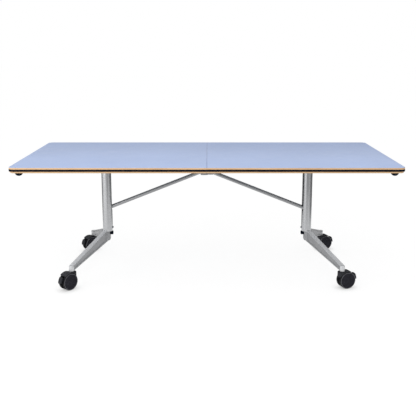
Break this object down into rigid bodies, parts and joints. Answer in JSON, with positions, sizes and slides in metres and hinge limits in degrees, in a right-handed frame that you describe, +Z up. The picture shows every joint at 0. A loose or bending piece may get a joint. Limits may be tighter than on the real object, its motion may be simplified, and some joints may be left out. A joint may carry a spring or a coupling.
{
  "type": "folding conference table",
  "caption": "Oblong table whose two half tops fold up at a middle hinge, on column legs with cast feet, crossed struts and braked twin-wheel castors.",
  "frame": {"origin": "on the floor below the middle of the table", "axes": "+X along the table's length, +Y to the back, +Z up"},
  "size_m": [2.202, 1.002, 0.74],
  "materials": {
    "blue_laminate": "fine satin laminate",
    "core_board": "pressed wood board, raw",
    "edge_wood": "clear-lacquered light wood",
    "black_rubber": "matt",
    "satin_aluminium": "satin",
    "cast_aluminium": "fine blasted casting",
    "zinc_steel": "zinc plated",
    "black_plastic": "fine grained moulding",
    "black_tread": "matt tread on a glossier disc"
  },
  "bodies": {
    "left_leg": {"foot_left": "cast_aluminium", "column_left": "satin_aluminium", "column_head_left": "cast_aluminium", "pivot_pin_left": "zinc_steel", "strut_pin_left": "zinc_steel", "stop_buffer_left": "black_rubber", "clamp_bolt_left": "zinc_steel"},
    "left_top": {"top_panel_left": "core_board", "laminate_left": "blue_laminate", "edge_lipping_left": "edge_wood", "bumper_strip_left": "black_rubber", "corner_buffer_left_front": "black_rubber", "corner_buffer_left_rear": "black_rubber", "pivot_bracket_left": "zinc_steel", "hinge_leaf_left": "cast_aluminium", "strut_bracket_left": "zinc_steel", "hinge_pin_front": "zinc_steel", "hinge_pin_rear": "zinc_steel"},
    "left_strut": {"strut_left": "satin_aluminium"},
    "right_leg": {"foot_right": "cast_aluminium", "column_right": "satin_aluminium", "column_head_right": "cast_aluminium", "pivot_pin_right": "zinc_steel", "strut_pin_right": "zinc_steel", "stop_buffer_right": "black_rubber", "clamp_bolt_right": "zinc_steel"},
    "right_top": {"top_panel_right": "core_board", "laminate_right": "blue_laminate", "edge_lipping_right": "edge_wood", "bumper_strip_right": "black_rubber", "corner_buffer_right_front": "black_rubber", "corner_buffer_right_rear": "black_rubber", "pivot_bracket_right": "zinc_steel", "hinge_leaf_right": "cast_aluminium", "strut_bracket_right": "zinc_steel"},
    "right_strut": {"strut_right": "satin_aluminium"},
    "castor_left_front": {"castor_housing_left_front": "black_plastic", "castor_stem_left_front": "zinc_steel", "castor_axle_left_front": "zinc_steel"},
    "wheel_left_front_a": {"castor_wheel_left_front_a": "black_tread"},
    "wheel_left_front_b": {"castor_wheel_left_front_b": "black_tread"},
    "pedal_left_front": {"brake_pedal_left_front": "black_plastic"},
    "castor_left_rear": {"castor_housing_left_rear": "black_plastic", "castor_stem_left_rear": "zinc_steel", "castor_axle_left_rear": "zinc_steel"},
    "wheel_left_rear_a": {"castor_wheel_left_rear_a": "black_tread"},
    "wheel_left_rear_b": {"castor_wheel_left_rear_b": "black_tread"},
    "pedal_left_rear": {"brake_pedal_left_rear": "black_plastic"},
    "castor_right_front": {"castor_housing_right_front": "black_plastic", "castor_stem_right_front": "zinc_steel", "castor_axle_right_front": "zinc_steel"},
    "wheel_right_front_a": {"castor_wheel_right_front_a": "black_tread"},
    "wheel_right_front_b": {"castor_wheel_right_front_b": "black_tread"},
    "pedal_right_front": {"brake_pedal_right_front": "black_plastic"},
    "castor_right_rear": {"castor_housing_right_rear": "black_plastic", "castor_stem_right_rear": "zinc_steel", "castor_axle_right_rear": "zinc_steel"},
    "wheel_right_rear_a": {"castor_wheel_right_rear_a": "black_tread"},
    "wheel_right_rear_b": {"castor_wheel_right_rear_b": "black_tread"},
    "pedal_right_rear": {"brake_pedal_right_rear": "black_plastic"}
  },
  "joints": [
    {"name": "left_fold", "type": "hinge", "parent": "left_leg", "child": "left_top", "pos_m": [-0.657, 0, 0.6937], "axis": [0, -1, 0], "range_deg": [0, 90]},
    {"name": "centre_hinge", "type": "hinge", "parent": "left_top", "child": "right_top", "pos_m": [0, 0, 0.6262], "axis": [0, 1, 0], "range_deg": [0, 180]},
    {"name": "right_fold", "type": "hinge", "parent": "right_top", "child": "right_leg", "pos_m": [0.657, 0, 0.6937], "axis": [0, -1, 0], "range_deg": [0, 90]},
    {"name": "left_strut_swing", "type": "hinge", "parent": "left_leg", "child": "left_strut", "pos_m": [-0.632, 0.0123, 0.388], "axis": [0, -1, 0], "range_deg": [0, 60.8]},
    {"name": "right_strut_swing", "type": "hinge", "parent": "right_leg", "child": "right_strut", "pos_m": [0.632, -0.0123, 0.388], "axis": [0, 1, 0], "range_deg": [0, 60.8]},
    {"name": "swivel_left_front", "type": "hinge", "parent": "left_leg", "child": "castor_left_front", "pos_m": [-0.793, -0.383, 0.1045], "axis": [0, 0, 1], "continuous": true},
    {"name": "roll_left_front_a", "type": "hinge", "parent": "castor_left_front", "child": "wheel_left_front_a", "pos_m": [-0.81036, -0.40368, 0.05], "axis": [0.766, -0.6428, 0], "continuous": true},
    {"name": "roll_left_front_b", "type": "hinge", "parent": "castor_left_front", "child": "wheel_left_front_b", "pos_m": [-0.81036, -0.40368, 0.05], "axis": [0.766, -0.6428, 0], "continuous": true},
    {"name": "brake_left_front", "type": "hinge", "parent": "castor_left_front", "child": "pedal_left_front", "pos_m": [-0.81036, -0.40368, 0.05], "axis": [0.766, -0.6428, 0], "range_deg": [0, 14]},
    {"name": "swivel_left_rear", "type": "hinge", "parent": "left_leg", "child": "castor_left_rear", "pos_m": [-0.793, 0.383, 0.1045], "axis": [0, 0, 1], "continuous": true},
    {"name": "roll_left_rear_a", "type": "hinge", "parent": "castor_left_rear", "child": "wheel_left_rear_a", "pos_m": [-0.81307, 0.36493, 0.05], "axis": [0.6691, -0.7431, 0], "continuous": true},
    {"name": "roll_left_rear_b", "type": "hinge", "parent": "castor_left_rear", "child": "wheel_left_rear_b", "pos_m": [-0.81307, 0.36493, 0.05], "axis": [0.6691, -0.7431, 0], "continuous": true},
    {"name": "brake_left_rear", "type": "hinge", "parent": "castor_left_rear", "child": "pedal_left_rear", "pos_m": [-0.81307, 0.36493, 0.05], "axis": [0.6691, -0.7431, 0], "range_deg": [0, 14]},
    {"name": "swivel_right_front", "type": "hinge", "parent": "right_leg", "child": "castor_right_front", "pos_m": [0.793, -0.383, 0.1045], "axis": [0, 0, 1], "continuous": true},
    {"name": "roll_right_front_a", "type": "hinge", "parent": "castor_right_front", "child": "wheel_right_front_a", "pos_m": [0.81837, -0.37377, 0.05], "axis": [-0.342, 0.9397, 0], "continuous": true},
    {"name": "roll_right_front_b", "type": "hinge", "parent": "castor_right_front", "child": "wheel_right_front_b", "pos_m": [0.81837, -0.37377, 0.05], "axis": [-0.342, 0.9397, 0], "continuous": true},
    {"name": "brake_right_front", "type": "hinge", "parent": "castor_right_front", "child": "pedal_right_front", "pos_m": [0.81837, -0.37377, 0.05], "axis": [-0.342, 0.9397, 0], "range_deg": [0, 14]},
    {"name": "swivel_right_rear", "type": "hinge", "parent": "right_leg", "child": "castor_right_rear", "pos_m": [0.793, 0.383, 0.1045], "axis": [0, 0, 1], "continuous": true},
    {"name": "roll_right_rear_a", "type": "hinge", "parent": "castor_right_rear", "child": "wheel_right_rear_a", "pos_m": [0.81837, 0.39224, 0.05], "axis": [-0.342, 0.9397, 0], "continuous": true},
    {"name": "roll_right_rear_b", "type": "hinge", "parent": "castor_right_rear", "child": "wheel_right_rear_b", "pos_m": [0.81837, 0.39224, 0.05], "axis": [-0.342, 0.9397, 0], "continuous": true},
    {"name": "brake_right_rear", "type": "hinge", "parent": "castor_right_rear", "child": "pedal_right_rear", "pos_m": [0.81837, 0.39224, 0.05], "axis": [-0.342, 0.9397, 0], "range_deg": [0, 14]}
  ],
  "couplings": [
    {"joint": "centre_hinge", "follows": "left_fold", "ratio": 2},
    {"joint": "right_fold", "follows": "left_fold", "ratio": 1},
    {"joint": "left_strut_swing", "follows": "left_fold", "ratio": 0.67532},
    {"joint": "right_strut_swing", "follows": "left_fold", "ratio": 0.67532}
  ]
}
